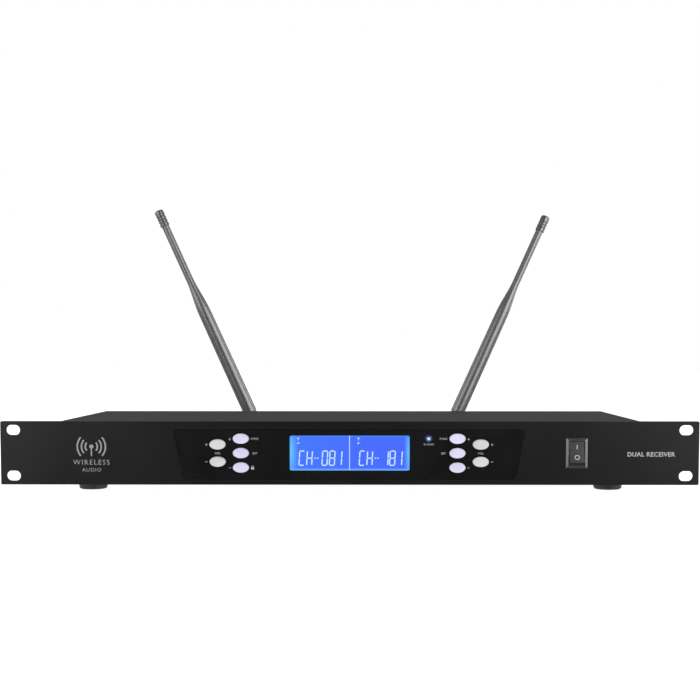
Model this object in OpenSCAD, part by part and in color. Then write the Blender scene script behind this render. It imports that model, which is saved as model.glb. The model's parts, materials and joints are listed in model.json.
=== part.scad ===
// Dual wireless receiver for a 19 inch rack, one unit high, with two whip antennas.
// X runs to the right as seen from the front, Y to the rear, Z up. The origin is the
// centre of the four rack slots, on the rear face of the front panel.

/* [Front panel] */
// Width of the panel over its ears
panel_w = 482.6; // [480:0.1:484]
// Height of the panel
panel_h = 44; // [43.4:0.1:44.4]
// Thickness of the panel
panel_t = 3; // [2.8:0.1:4]
// Distance between the slots, side to side
slot_spacing_x = 465.1; // [464:0.1:467]
// Distance between the slots, up and down
slot_spacing_z = 31.75; // [31:0.05:32]
// Length of a slot
slot_length = 10; // [8:0.1:11]
// Height of a slot
slot_height = 7; // [6.4:0.1:7.4]

/* [Case] */
// Width of the case
case_w = 414.4; // [410:0.2:424]
// Depth of the case behind the panel
case_d = 200; // [190:1:240]
// Height of the case
case_h = 40.8; // [40:0.1:41.4]
// Thickness of the tray's sheet
tray_t = 1.2; // [1:0.1:1.4]
// Thickness of the cover's sheet
cover_t = 1; // [0.8:0.1:1.2]

/* [Display and keys] */
// Width of the lens along its top edge
lens_top_w = 243.4; // [240:0.2:250]
// Width of the lens along its bottom edge
lens_bottom_w = 229.6; // [226:0.2:236]
// Width of the display window
display_w = 82.8; // [70:0.2:84]
// Height of the display window
display_h = 24.2; // [20:0.2:25]
// Distance of the window's middle from the panel's middle
display_x = 0.4; // [0:0.1:0.6]
// Width of a key
key_w = 11.2; // [9:0.1:11.6]
// Height of a key
key_h = 7.3; // [6:0.1:7.6]
// How far a key goes in
key_travel = 0.8; // [0.3:0.1:1]
// Distance of the volume keys from the middle
volume_x = 90.9; // [90:0.1:94]
// Distance of the function keys from the middle
function_x = 74.8; // [72:0.1:75.2]

/* [Power switch] */
// Distance of the switch from the middle
switch_x = 157; // [145:0.5:165]
// Width of the switch bezel
switch_w = 15; // [14.8:0.1:16]
// Height of the switch bezel
switch_h = 21; // [20.8:0.1:22]
// Angle between the rocker's rest and its middle position
rocker_tilt = 10; // [6:0.5:10]

/* [Feet] */
// Diameter of a foot
foot_d = 20.7; // [16:0.1:22]
// Height of a foot
foot_h = 8; // [6:0.1:10]
// Distance of the feet from the middle
foot_x = 185; // [170:1:190]
// Distance of the front feet behind the panel
foot_y = 35; // [30:1:50]

/* [Antennas] */
// Distance of the antenna jacks from the middle
antenna_x = 80.5; // [78:0.1:90]
// Lean of the left antenna to the left, in degrees
left_splay = 24.3; // [0:0.1:30]
// Lean of the right antenna to the right, in degrees
right_splay = 24.7; // [0:0.1:30]
// Rearward lean of the right antenna, in degrees
right_lean = 7.7; // [0:0.1:20]
// Length of a whip from its hinge pin to its tip
whip_length = 209.6; // [190:0.2:230]
// Diameter of the whip's sleeve at its foot
sleeve_d = 11.7; // [11:0.1:12]
// Diameter of the whip's thin rod
rod_d = 6.2; // [5:0.1:6.6]

/* [Rear sockets] */
// Distance of the balanced outputs from the middle
output_x = 42; // [30:0.5:46]
// Distance of the power inlet from the middle
inlet_x = 150; // [120:1:160]
// Radius of the mixed output's bore
mix_bore_r = 3.2; // [3.175:0.005:3.3]
// Length of the mixed output's bore
mix_bore_l = 29; // [28:0.5:30]

/* [Hidden] */
$fn = 64;
E = 0.01;                            // overlap that makes a cut break through
CLEAR = 0.05;                        // radial room around a screw or a stud

case_x = case_w / 2;
case_top = case_h / 2;
case_floor = -case_top;
rear_y = case_d;
wall_y = rear_y - tray_t;            // inner face of the rear wall
inner_floor = case_floor + tray_t;
under_cover = case_top - cover_t;
skirt_in = case_x - cover_t;         // inner face of a cover skirt

lens_top_z = 16.3;
lens_bottom_z = -18.1;
lens_t = 1.2;
lens_front = 0.2 - panel_t;          // the lens sits 0.2 mm below the panel's face
lens_back = lens_front + lens_t;
key_front = -panel_t - 1.4;
key_room = 0.3;                      // gap between a key and the lens
flange_front = 0.4;
flange_t = 0.8;
board_y = 7;                         // front face of the front board
board_t = 1.6;
switch_body = 3.4;                   // height of a tactile switch
button_r = 1.7;
stem_end = board_y - switch_body + 0.6;

// Every key: name, x, z
KEYS = [
    ["left_volume_up_key", -volume_x, 6], ["left_volume_down_key", -volume_x, -6],
    ["left_up_key", -function_x, 10], ["left_set_key", -function_x, 0],
    ["left_down_key", -function_x, -10],
    ["right_up_key", function_x, 10], ["right_set_key", function_x, 0],
    ["right_down_key", function_x, -10],
    ["right_volume_up_key", volume_x, 6], ["right_volume_down_key", volume_x, -6]
];
infrared_at = [55, 10];
infrared_r = 1.95;

housing_w = 12.6;
housing_h = 18.8;
housing_depth = 15;
rocker_opening = [10.8, 16.6];
rocker_size = [10.2, 14.4];
rocker_pivot_y = -panel_t + 2.5;
trunnion_r = 1.2;

stud_at = [195, 12];                 // studs, from the middle of the panel
post_at = [106, 10];                 // posts of the front board

main_x = [-170, 130];                // the main board's sides
main_y = [30, 172];
main_top = -10.4;
standoff_x = [-162, -20, 122];
standoff_y = [38, 164];

cover_screw_y = [40, 100, 160];
cover_screw_z = -12;
socket_z = -1;                       // height of every rear socket
shell_r = 11.8;
mouth_r = 9.35;                      // bore of an output's shell
insert_r = 10.2;
shell_back = rear_y - 22;
insert_face = rear_y - 13;           // the shoulder that an insert sits against

hinge_y = rear_y + 30;               // distance of an antenna's hinge pin from the origin
sleeve_start = 7.5;
cap_length = 14.4;

// Outlines

function ellipse(w, h, n = 48) = [for (i = [0:n - 1]) [w / 2 * cos(360 * i / n), h / 2 * sin(360 * i / n)]];

function unit(v) = v / norm(v);

// A convex outline with each corner rounded to its own radius
function rounded(points, radii, steps = 6) = [
    for (i = [0:len(points) - 1])
        let (
            here = points[i],
            before = unit(points[(i + len(points) - 1) % len(points)] - here),
            after = unit(points[(i + 1) % len(points)] - here),
            half = acos(before * after) / 2,
            centre = here + unit(before + after) * radii[i] / sin(half),
            start = here + before * radii[i] / tan(half) - centre,
            turn = 180 - 2 * half
        )
        for (k = [0:steps])
            centre + [[cos(turn * k / steps), -sin(turn * k / steps)],
                      [sin(turn * k / steps), cos(turn * k / steps)]] * start
];

function rectangle(w, h, r) = rounded(
    [[-w / 2, -h / 2], [w / 2, -h / 2], [w / 2, h / 2], [-w / 2, h / 2]], [r, r, r, r]);

// The lens outline, larger all round by grow
function lens_outline(grow = 0) = rounded(
    [[-lens_bottom_w / 2 - grow, lens_bottom_z - grow], [lens_bottom_w / 2 + grow, lens_bottom_z - grow],
     [lens_top_w / 2 + grow, lens_top_z + grow], [-lens_top_w / 2 - grow, lens_top_z + grow]],
    [4, 4, 2.4, 2.4]);

// A point of a smooth curve through four control points
function curve(p, t) =
    pow(1 - t, 3) * p[0] + 3 * t * pow(1 - t, 2) * p[1] + 3 * t * t * (1 - t) * p[2] + pow(t, 3) * p[3];

// Places and directions

// Extrudes an outline drawn in X and Z from one Y to another
module slab(from_y, to_y) {
    translate([0, to_y, 0])
        rotate([90, 0, 0])
            linear_extrude(to_y - from_y)
                children();
}

// A rod along Y
module rod(r, from_y, to_y) {
    translate([0, from_y, 0])
        rotate([-90, 0, 0])
            cylinder(r = r, h = to_y - from_y);
}

// A solid turned about the Y axis, from points of radius and Y
module turned_y(points) {
    rotate([-90, 0, 0])
        rotate_extrude()
            polygon(points);
}

module block(low, high) {
    translate(low)
        cube(high - low);
}

module at(x, z) {
    translate([x, 0, z])
        children();
}

module both_sides() {
    for (side = [-1, 1])
        scale_side(side)
            children();
}

module scale_side(side) {
    if (side < 0)
        mirror([1, 0, 0])
            children();
    else
        children();
}

// A round wire along a smooth curve, as rings of eight points joined up
module wire(p, r, rings = 14, sides = 8) {
    centres = [for (i = [0:rings]) curve(p, i / rings)];
    points = [
        for (i = [0:rings])
            let (
                along = unit(centres[min(i + 1, rings)] - centres[max(i - 1, 0)]),
                across = unit(cross(along, [1, 0.2, 0.3])),
                over = cross(across, along)
            )
            for (k = [0:sides - 1])
                centres[i] + r * (cos(360 * k / sides) * across + sin(360 * k / sides) * over)
    ];
    walls = [
        for (i = [0:rings - 1])
            for (k = [0:sides - 1])
                [i * sides + k, i * sides + (k + 1) % sides,
                 (i + 1) * sides + (k + 1) % sides, (i + 1) * sides + k]
    ];
    first = [for (k = [0:sides - 1]) sides - 1 - k];
    last = [for (k = [0:sides - 1]) rings * sides + k];
    polyhedron(points, concat(walls, [first, last]));
}

// Front

module rack_slots() {
    for (x = [-1, 1])
        for (z = [-1, 1])
            at(x * slot_spacing_x / 2, z * slot_spacing_z / 2) {
                for (end = [-1, 1])
                    at(end * (slot_length - slot_height) / 2, 0)
                        rod(slot_height / 2, -panel_t - 1, 1);
                block([-(slot_length - slot_height) / 2, -panel_t - 1, -slot_height / 2],
                      [(slot_length - slot_height) / 2, 1, slot_height / 2]);
            }
}

module front_panel() {
    hole_w = key_w + 1.2;
    hole_h = key_h + 1.2;
    color([0.11, 0.11, 0.12])
        difference() {
            slab(-panel_t, 0)
                polygon(rectangle(panel_w, panel_h, 1));
            rack_slots();
            slab(-panel_t - 1, lens_back)
                polygon(lens_outline(0.15));
            at(display_x, 0)
                slab(-panel_t - 1, 1)
                    polygon(rectangle(display_w + 5.8, display_h + 4.4, 1));
            for (key = KEYS)
                at(key[1], key[2])
                    slab(-panel_t - 1, 1)
                        polygon(ellipse(hole_w, hole_h));
            at(infrared_at[0], infrared_at[1])
                rod(infrared_r + 0.4, -panel_t - 1, 1);
            at(switch_x, 0)
                block([-6.5, -panel_t - 1, -9.6], [6.5, 1, 9.6]);
        }
}

module display_lens() {
    color([0.05, 0.05, 0.06])
        difference() {
            slab(lens_front, lens_back)
                polygon(lens_outline());
            at(display_x, 0)
                slab(lens_front - 1, lens_back + 1)
                    polygon(rectangle(display_w, display_h, 1.2));
            for (key = KEYS)
                at(key[1], key[2])
                    slab(lens_front - 1, lens_back + 1)
                        polygon(ellipse(key_w + 2 * key_room, key_h + 2 * key_room));
            at(infrared_at[0], infrared_at[1])
                rod(infrared_r + CLEAR, lens_front - 1, lens_back + 1);
        }
}

glass_w = display_w + 5.2;
glass_h = display_h + 3.8;
glass_back = lens_back + 2.2;

module display_glass() {
    color([0.3, 0.45, 1])
        at(display_x, 0)
            slab(lens_back, glass_back)
                polygon(rectangle(glass_w, glass_h, 0.6));
}

module display_frame() {
    color([0.6, 0.6, 0.62])
        at(display_x, 0)
            difference() {
                slab(0.2, board_y)
                    polygon(rectangle(glass_w + 2, glass_h + 2, 0.8));
                slab(0, board_y + 1)
                    polygon(rectangle(glass_w + 0.2, glass_h + 0.2, 0.6));
            }
}

module display_backlight() {
    color([0.9, 0.9, 0.95])
        at(display_x, 0)
            slab(glass_back, board_y)
                polygon(rectangle(glass_w, glass_h, 0.6));
}

module key(x, z) {
    color([0.85, 0.85, 0.88])
        at(x, z) {
            slab(key_front, flange_front)
                polygon(ellipse(key_w, key_h));
            slab(flange_front, flange_front + flange_t)
                polygon(ellipse(key_w + 2.4, key_h + 2.3));
            rod(button_r, flange_front + flange_t, stem_end);
        }
}

module tactile_switches() {
    color([0.15, 0.15, 0.15])
        for (key = KEYS)
            at(key[1], key[2])
                difference() {
                    block([-3, board_y - switch_body, -3], [3, board_y, 3]);
                    rod(button_r + 0.1, board_y - switch_body - 1, stem_end + key_travel + 0.8);
                }
}

module infrared_lens() {
    dome = 0.7;
    color([0.8, 0.85, 0.95])
        at(infrared_at[0], infrared_at[1])
            turned_y([
                for (i = [0:8]) [infrared_r * sin(90 * i / 8), -panel_t - 0.4 + dome * (1 - cos(90 * i / 8))],
                [infrared_r, 0.3], [infrared_r + 0.9, 0.3], [infrared_r + 0.9, 1.3],
                [infrared_r, 1.3], [infrared_r, board_y], [0, board_y]
            ]);
}

module power_switch_housing() {
    front = -panel_t - 1.8;
    color([0.14, 0.14, 0.14])
        at(switch_x, 0)
            difference() {
                union() {
                    slab(front, -panel_t)
                        polygon(rectangle(switch_w, switch_h, 0.8));
                    block([-housing_w / 2, -panel_t - E, -housing_h / 2],
                          [housing_w / 2, housing_depth - panel_t, housing_h / 2]);
                    for (side = [-1, 1])
                        snap_tab(side);
                }
                block([-rocker_opening[0] / 2, front - 1, -rocker_opening[1] / 2],
                      [rocker_opening[0] / 2, 5, rocker_opening[1] / 2]);
                translate([-switch_w, rocker_pivot_y, 0])
                    rotate([0, 90, 0])
                        cylinder(r = trunnion_r + CLEAR, h = 2 * switch_w);
            }
}

// A wedge behind the panel that holds the switch in its hole
module snap_tab(side) {
    translate([-3, 0, 0])
        rotate([90, 0, 90])
            linear_extrude(6)
                polygon([[0.1, side * (housing_h / 2 - E)], [0.1, side * (housing_h / 2 + 0.9)],
                         [4, side * (housing_h / 2 - E)]]);
}

module power_switch_rocker() {
    half = rocker_size[1] / 2;
    face = -panel_t - 3.4;
    color([0.16, 0.16, 0.16])
        translate([switch_x, rocker_pivot_y, 0])
            rotate([-rocker_tilt, 0, 0])
                translate([0, -rocker_pivot_y, 0]) {
                    translate([-rocker_size[0] / 2, 0, 0])
                        rotate([90, 0, 90])
                            linear_extrude(rocker_size[0])
                                polygon([[face, -half], [face + 1.9, 0], [face, half],
                                         [-1.5, half + 0.6], [1, 4], [3, 1.5],
                                         [3, -1.5], [1, -4], [-1.5, -half - 0.6]]);
                    translate([-(housing_w - 0.4) / 2, rocker_pivot_y, 0])
                        rotate([0, 90, 0])
                            cylinder(r = trunnion_r, h = housing_w - 0.4);
                }
}

module power_switch_terminals() {
    back = housing_depth - panel_t;
    color([0.8, 0.7, 0.4])
        at(switch_x, 0)
            for (z = [-4.7, 4.7])
                difference() {
                    block([-2.4, back, z - 0.4], [2.4, back + 9, z + 0.4]);
                    translate([0, back + 6, z - 1])
                        cylinder(r = 0.9, h = 2);
                }
}

module front_board() {
    color([0.05, 0.3, 0.15])
        difference() {
            slab(board_y, board_y + board_t)
                polygon(rectangle(224, 31, 1));
            for (x = [-1, 1])
                for (z = [-1, 1])
                    at(x * post_at[0], z * post_at[1])
                        rod(1.5 + CLEAR, board_y - 1, board_y + board_t + 1);
        }
}

module front_board_posts() {
    color([0.75, 0.72, 0.6])
        for (x = [-1, 1])
            for (z = [-1, 1])
                at(x * post_at[0], z * post_at[1])
                    difference() {
                        rod(2.6, 0, board_y);
                        rod(1.5 + CLEAR, 2, board_y + 1);
                    }
}

// Case

vent_count = 14;

module chassis_tray() {
    color([0.2, 0.2, 0.21])
        difference() {
            union() {
                block([-skirt_in, 0, case_floor], [skirt_in, rear_y, inner_floor]);
                block([-skirt_in, wall_y, case_floor], [skirt_in, rear_y, under_cover]);
                both_sides() {
                    block([stud_at[0] - 14, 0, case_floor], [skirt_in, tray_t, under_cover]);
                    block([skirt_in - tray_t, 0, case_floor], [skirt_in, rear_y, -6]);
                }
            }
            for (x = [-1, 1])
                for (z = [-1, 1])
                    at(x * stud_at[0], z * stud_at[1])
                        rod(2.1, -1, tray_t + 1);
            both_sides() {
                for (y = cover_screw_y)
                    translate([skirt_in - tray_t - 1, y, cover_screw_z])
                        rotate([0, 90, 0])
                            cylinder(r = 1.5 + CLEAR, h = tray_t + 2);
                for (y = [foot_y, rear_y - foot_y])
                    translate([foot_x, y, case_floor - 1])
                        cylinder(r = 1.5 + CLEAR, h = tray_t + 2);
                at(output_x, socket_z)
                    rod(shell_r + 0.1, wall_y - 1, rear_y + 1);
                at(antenna_x, socket_z)
                    rod(6.4, wall_y - 1, rear_y + 1);
            }
            for (x = [-output_x, output_x])
                for (k = [-1, 1])
                    at(x + 9.5 * k, socket_z + 12 * k)
                        rod(1.5 + CLEAR, wall_y - 1, rear_y + 1);
            at(0, socket_z)
                rod(4.8, wall_y - 1, rear_y + 1);
            at(inlet_x, socket_z)
                rod(4.1, wall_y - 1, rear_y + 1);
        }
}

module top_cover() {
    color([0.2, 0.2, 0.21])
        difference() {
            union() {
                block([-case_x, 0.2, under_cover], [case_x, rear_y, case_top]);
                both_sides()
                    block([skirt_in, 0.2, case_floor + 0.6], [case_x, rear_y, under_cover + E]);
            }
            both_sides() {
                for (y = cover_screw_y)
                    translate([skirt_in - 1, y, cover_screw_z])
                        rotate([0, 90, 0])
                            cylinder(r = 1.5 + CLEAR, h = cover_t + 2);
                for (i = [0:vent_count - 1])
                    block([skirt_in - 1, 50 + 8 * i, 0], [case_x + 1, 52.5 + 8 * i, 12]);
            }
        }
}

module foot(x, y) {
    r = foot_d / 2;
    edge = 2;
    color([0.12, 0.12, 0.12])
        translate([x, y, case_floor - foot_h])
            difference() {
                rotate_extrude()
                    polygon(concat(
                        [[0, 0]],
                        [for (i = [0:6]) [r - 0.3 - edge * (1 - sin(15 * i)), edge * (1 - cos(15 * i))]],
                        [[r, foot_h], [0, foot_h]]));
                translate([0, 0, -1])
                    cylinder(r = 3.6, h = 5);
                cylinder(r = 1.5 + CLEAR, h = foot_h + 1);
            }
}

// A pan-head screw, its head's underside at the origin and its shank along -Z
module screw(r, head_r, head_h, length) {
    cylinder(r = head_r, h = head_h);
    translate([0, 0, -length])
        cylinder(r = r, h = length + E);
}

module foot_screws() {
    color([0.75, 0.75, 0.78])
        for (x = [-foot_x, foot_x])
            for (y = [foot_y, rear_y - foot_y])
                translate([x, y, case_floor - foot_h + 4])
                    rotate([180, 0, 0])
                        screw(1.5, 2.8, 2, foot_h - 4 + tray_t + 3);
}

module panel_studs() {
    color([0.75, 0.75, 0.78])
        for (x = [-1, 1])
            for (z = [-1, 1])
                at(x * stud_at[0], z * stud_at[1])
                    rod(2, 0, 7);
}

module panel_nuts() {
    color([0.75, 0.75, 0.78])
        for (x = [-1, 1])
            for (z = [-1, 1])
                at(x * stud_at[0], z * stud_at[1])
                    hex_nut(8, 2 + CLEAR, tray_t, tray_t + 3.2);
}

// A six-sided nut around the Y axis
module hex_nut(across_corners, bore_r, from_y, to_y) {
    difference() {
        translate([0, from_y, 0])
            rotate([-90, 0, 0])
                cylinder(d = across_corners, h = to_y - from_y, $fn = 6);
        rod(bore_r, from_y - 1, to_y + 1);
    }
}

module cover_screws() {
    color([0.1, 0.1, 0.1])
        both_sides()
            for (y = cover_screw_y)
                translate([case_x, y, cover_screw_z])
                    rotate([0, 90, 0])
                        screw(1.5, 2.75, 1.6, 5);
}

// Inside

module main_board() {
    color([0.05, 0.3, 0.15])
        difference() {
            block([main_x[0], main_y[0], main_top - board_t], [main_x[1], main_y[1], main_top]);
            for (x = standoff_x)
                for (y = standoff_y)
                    translate([x, y, main_top - board_t - 1])
                        cylinder(r = 1.5 + CLEAR, h = board_t + 2);
        }
}

module board_standoffs() {
    color([0.75, 0.72, 0.6])
        for (x = standoff_x)
            for (y = standoff_y)
                translate([x, y, inner_floor])
                    difference() {
                        cylinder(r = 2.8, h = main_top - board_t - inner_floor);
                        translate([0, 0, 1])
                            cylinder(r = 1.5 + CLEAR, h = 10);
                    }
}

module board_screws() {
    color([0.75, 0.75, 0.78]) {
        for (x = standoff_x)
            for (y = standoff_y)
                translate([x, y, main_top])
                    screw(1.5, 2.75, 2, 5);
        for (x = [-1, 1])
            for (z = [-1, 1])
                translate([x * post_at[0], board_y + board_t, z * post_at[1]])
                    rotate([-90, 0, 0])
                        screw(1.5, 2.75, 2, 5);
    }
}

module board_components() {
    color([0.2, 0.25, 0.35]) {
        // Filter capacitors
        for (i = [0:3])
            translate([60 + 13 * i, 60, main_top])
                cylinder(d = 10, h = 16);
        for (i = [0:5])
            translate([-50 + 12 * i, 146, main_top])
                cylinder(d = 6.3, h = 11);
        // Signal processors and amplifiers
        for (x = [-120, -70, 20])
            translate([x, 90, main_top])
                cube([14, 14, 1.6]);
        for (i = [0:4])
            translate([-120 + 24 * i, 66, main_top])
                cube([10, 6, 1.8]);
    }
    // Regulator with its heat sink
    color([0.6, 0.6, 0.62])
        translate([92, 88, main_top])
            for (i = [0:4])
                translate([5 * i, 0, 0])
                    cube([1.6, 22, 14]);
    color([0.6, 0.6, 0.62])
        block([92, 85, main_top], [113.6, 88, main_top + 14]);
}

module receiver_modules() {
    color([0.78, 0.78, 0.8])
        both_sides()
            block([antenna_x - 24, 112, main_top], [antenna_x + 20, 136, main_top + 9]);
}

module ribbon_cable() {
    steps = 20;
    start = [board_y + board_t + 4, -8];
    finish = [main_y[0] + 8, main_top + 4];
    path = [start, start + [9, 0], finish + [-2, 15], finish];
    upper = [for (i = [0:steps]) curve(path, i / steps) + [0.4, 0.4]];
    lower = [for (i = [0:steps]) curve(path, 1 - i / steps) - [0.4, 0.4]];
    color([0.7, 0.7, 0.72]) {
        translate([-15, 0, 0])
            rotate([90, 0, 90])
                linear_extrude(30)
                    polygon(concat(upper, lower));
        block([-17, start[0] - 4, start[1] - 2.5], [17, start[0] - 0.5, start[1] + 2.5]);
        block([-17, finish[0] - 2.5, main_top], [17, finish[0] + 2.5, finish[1] - 0.5]);
    }
}

module antenna_leads() {
    color([0.15, 0.15, 0.15])
        both_sides()
            wire([[antenna_x, rear_y - 12, socket_z], [antenna_x, rear_y - 26, socket_z],
                  [antenna_x, 156, main_top + 5], [antenna_x, 136, main_top + 5]], 0.9);
}

module power_leads() {
    back = housing_depth - panel_t + 9;
    color([0.7, 0.1, 0.1])
        for (k = [-1, 1])
            wire([[switch_x, back + E, 4.7 * k], [switch_x, back + 22, 4.7 * k],
                  [124, 72 + 6 * k, main_top + 22], [124, 72 + 6 * k, main_top + 2 * E]], 0.8);
}

// Rear

module antenna_jacks() {
    color([0.8, 0.78, 0.72])
        both_sides()
            at(antenna_x, socket_z)
                difference() {
                    union() {
                        turned_y([
                            [0, rear_y - 12], [4, rear_y - 12], [4, wall_y - 1.6], [8, wall_y - 1.6],
                            [8, wall_y], [6.3, wall_y], [6.3, rear_y + 3.4], [4.8, rear_y + 3.4],
                            [4.8, rear_y + 12], [4.1, rear_y + 12], [4.1, rear_y + 4],
                            [2.3, rear_y + 4], [2.3, rear_y + 10], [0, rear_y + 10]
                        ]);
                        for (side = [-1, 1])
                            translate([0, rear_y + 8.5, 0])
                                rotate([0, 90 * side, 0])
                                    translate([0, 0, 4.4])
                                        cylinder(r = 1, h = 1.1);
                    }
                    rod(0.8, rear_y + 4, rear_y + 11);
                }
}

module output_sockets() {
    color([0.75, 0.75, 0.77])
        for (x = [-output_x, output_x])
            at(x, socket_z)
                difference() {
                    union() {
                        slab(rear_y, rear_y + 2)
                            polygon(rectangle(26, 31, 2.5));
                        rod(shell_r, shell_back, rear_y + E);
                    }
                    rod(mouth_r, shell_back - 1, rear_y + 3);
                    rod(insert_r + CLEAR, shell_back - 1, insert_face);
                    for (k = [-1, 1])
                        at(9.5 * k, 12 * k)
                            rod(1.5 + CLEAR, rear_y - 1, rear_y + 3);
                }
}

// The discs that hold the contacts
module output_inserts() {
    color([0.12, 0.12, 0.12])
        for (x = [-output_x, output_x])
            at(x, socket_z)
                difference() {
                    rod(insert_r, shell_back, insert_face);
                    for (pin = contact_at)
                        at(pin[0], pin[1])
                            rod(contact_r + CLEAR / 2, shell_back - 1, insert_face + 1);
                }
}

// The three contacts of a balanced output, from its middle
contact_r = 1.2;
contact_at = [for (angle = [35, 145, 270]) 4.4 * [cos(angle), sin(angle)]];

module socket_contacts() {
    color([0.85, 0.75, 0.45])
        for (x = [-output_x, output_x])
            for (pin = contact_at)
                at(x + pin[0], socket_z + pin[1])
                    rod(contact_r, shell_back - 3, rear_y - 2);
}

module output_socket_screws() {
    color([0.1, 0.1, 0.1])
        for (x = [-output_x, output_x])
            for (k = [-1, 1])
                translate([x + 9.5 * k, rear_y + 2, socket_z + 12 * k])
                    rotate([-90, 0, 0])
                        screw(1.5, 2.6, 1.4, 7);
}

module mix_jack() {
    color([0.12, 0.12, 0.12])
        at(0, socket_z)
            difference() {
                union() {
                    block([-7.5, wall_y - 26, -7], [7.5, wall_y, 7]);
                    rod(4.7, wall_y - E, rear_y + 5);
                }
                rod(mix_bore_r, rear_y + 5 - mix_bore_l, rear_y + 6);
            }
}

module dc_inlet() {
    color([0.12, 0.12, 0.12])
        at(inlet_x, socket_z)
            turned_y([
                [0, wall_y - 12], [5.6, wall_y - 12], [5.6, wall_y], [4, wall_y], [4, rear_y + 4],
                [2.8, rear_y + 4], [2.8, rear_y - 5.5], [1.02, rear_y - 5.5],
                [1.02, rear_y + 3], [0, rear_y + 3]
            ]);
}

module socket_nuts() {
    color([0.8, 0.8, 0.82]) {
        for (x = [-antenna_x, antenna_x])
            at(x, socket_z)
                hex_nut(17, 6.3 + CLEAR, rear_y, rear_y + 2.4);
        at(0, socket_z)
            hex_nut(14.5, 4.7 + CLEAR, rear_y, rear_y + 2.4);
        at(inlet_x, socket_z)
            hex_nut(12.5, 4 + CLEAR, rear_y, rear_y + 2.2);
    }
}

// Antennas. Each piece is drawn with its hinge pin along X at the origin, its plug
// towards -Y and its whip upright.

module placed(side, splay, lean) {
    translate([side * antenna_x, hinge_y, socket_z])
        rotate([0, side * splay, 0])
            rotate([-lean, 0, 0])
                children();
}

module antenna_plug(side) {
    color([0.8, 0.78, 0.72])
        placed(side, 0, 0)
            difference() {
                turned_y([
                    [0, -25.4], [4, -25.4], [4, -18.6], [4, -17.8], [5.2, -17.8], [5.2, -15.8],
                    [3.5, -15.8], [3.5, -9.2], [4.4, -9.2], [4.4, -8.2], [0, -8.2]
                ]);
                difference() {
                    rod(2.9, -26, -18.8);
                    rod(0.65, -27, -18);
                }
            }
}

module antenna_ring(side) {
    color([0.8, 0.78, 0.72])
        placed(side, 0, 0)
            turned_y([
                [5.7, -26.2], [7.25, -26.2], [7.25, -14.8], [3.6, -14.8], [3.6, -15.6],
                [5.7, -15.6]
            ]);
}

module antenna_knuckle(side, splay) {
    color([0.2, 0.2, 0.21])
        placed(side, splay, 0)
            difference() {
                union() {
                    rod(5.75, -14.6, -6);
                    for (ear = [-1, 1]) {
                        translate([ear * 4 - 1.2, 0, 0])
                            rotate([0, 90, 0])
                                cylinder(r = 4.8, h = 2.4);
                        block([ear * 4 - 1.2, -7, -4.8], [ear * 4 + 1.2, 0, 4.8]);
                    }
                }
                rod(3.58, -15, -9);
                rod(4.6, -9.4, -8);
                translate([-8, 0, 0])
                    rotate([0, 90, 0])
                        cylinder(r = 1.5 + CLEAR / 2, h = 16);
            }
}

module antenna_pin(side, splay) {
    color([0.75, 0.75, 0.78])
        placed(side, splay, 0) {
            translate([-5.4, 0, 0])
                rotate([0, 90, 0])
                    cylinder(r = 1.5, h = 10.8);
            for (end = [-1, 1])
                translate([end * 5.6 - 0.4, 0, 0])
                    rotate([0, 90, 0])
                        cylinder(r = 2.4, h = 0.8);
        }
}

module antenna_whip(side, splay, lean) {
    rod_end = whip_length - cap_length;
    sleeve_end = whip_length - 93;
    color([0.3, 0.3, 0.32])
        placed(side, splay, lean)
            difference() {
                union() {
                    rotate_extrude()
                        polygon([
                            [0, sleeve_start], [sleeve_d / 2 - 0.5, sleeve_start],
                            [sleeve_d / 2, sleeve_start + 0.5], [sleeve_d / 2, 22],
                            [sleeve_d / 2 - 0.5, sleeve_end], [rod_d / 2, sleeve_end + 27],
                            [rod_d / 2, rod_end], [2, rod_end], [2, rod_end + 7], [0, rod_end + 7]
                        ]);
                    intersection() {
                        union() {
                            translate([-2.6, 0, 0])
                                rotate([0, 90, 0])
                                    cylinder(r = 4.6, h = 5.2);
                            block([-2.6, -4.6, 0], [2.6, 4.6, sleeve_start + 1]);
                        }
                        block([-3, -5, -5], [3, 5, sleeve_start + 1]);
                    }
                }
                translate([-8, 0, 0])
                    rotate([0, 90, 0])
                        cylinder(r = 1.58, h = 16);
            }
}

module antenna_cap(side, splay, lean) {
    rod_end = whip_length - cap_length;
    cap_r = 3.85;
    dome = 1.6;
    color([0.15, 0.15, 0.16])
        placed(side, splay, lean)
            rotate_extrude()
                polygon(concat(
                    [[2 + CLEAR, rod_end], [cap_r, rod_end]],
                    [for (i = [0:6])
                        [cap_r - dome * (1 - cos(15 * i)), whip_length - dome * (1 - sin(15 * i))]],
                    [[0, whip_length], [0, rod_end + 7 + CLEAR], [2 + CLEAR, rod_end + 7 + CLEAR]]));
}

front_panel();
display_lens();
display_glass();
display_frame();
display_backlight();
for (k = KEYS)
    key(k[1], k[2]);
tactile_switches();
infrared_lens();
power_switch_housing();
power_switch_rocker();
power_switch_terminals();
chassis_tray();
top_cover();
foot(-foot_x, foot_y);  // front_left_foot
foot(foot_x, foot_y);  // front_right_foot
foot(-foot_x, rear_y - foot_y);  // rear_left_foot
foot(foot_x, rear_y - foot_y);  // rear_right_foot
foot_screws();
panel_studs();
panel_nuts();
cover_screws();
main_board();
board_standoffs();
board_screws();
board_components();
receiver_modules();
front_board();
front_board_posts();
ribbon_cable();
antenna_leads();
power_leads();
antenna_jacks();
output_sockets();
output_inserts();
socket_contacts();
output_socket_screws();
mix_jack();
dc_inlet();
socket_nuts();
for (name = ["left", "right"]) {
    side = name == "left" ? -1 : 1;
    splay = side < 0 ? left_splay : right_splay;
    lean = side < 0 ? 0 : right_lean;
    antenna_plug(side);
    antenna_ring(side);
    antenna_knuckle(side, splay);
    antenna_pin(side, splay);
    antenna_whip(side, splay, lean);
    antenna_cap(side, splay, lean);
}
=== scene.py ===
import json
import math

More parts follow.
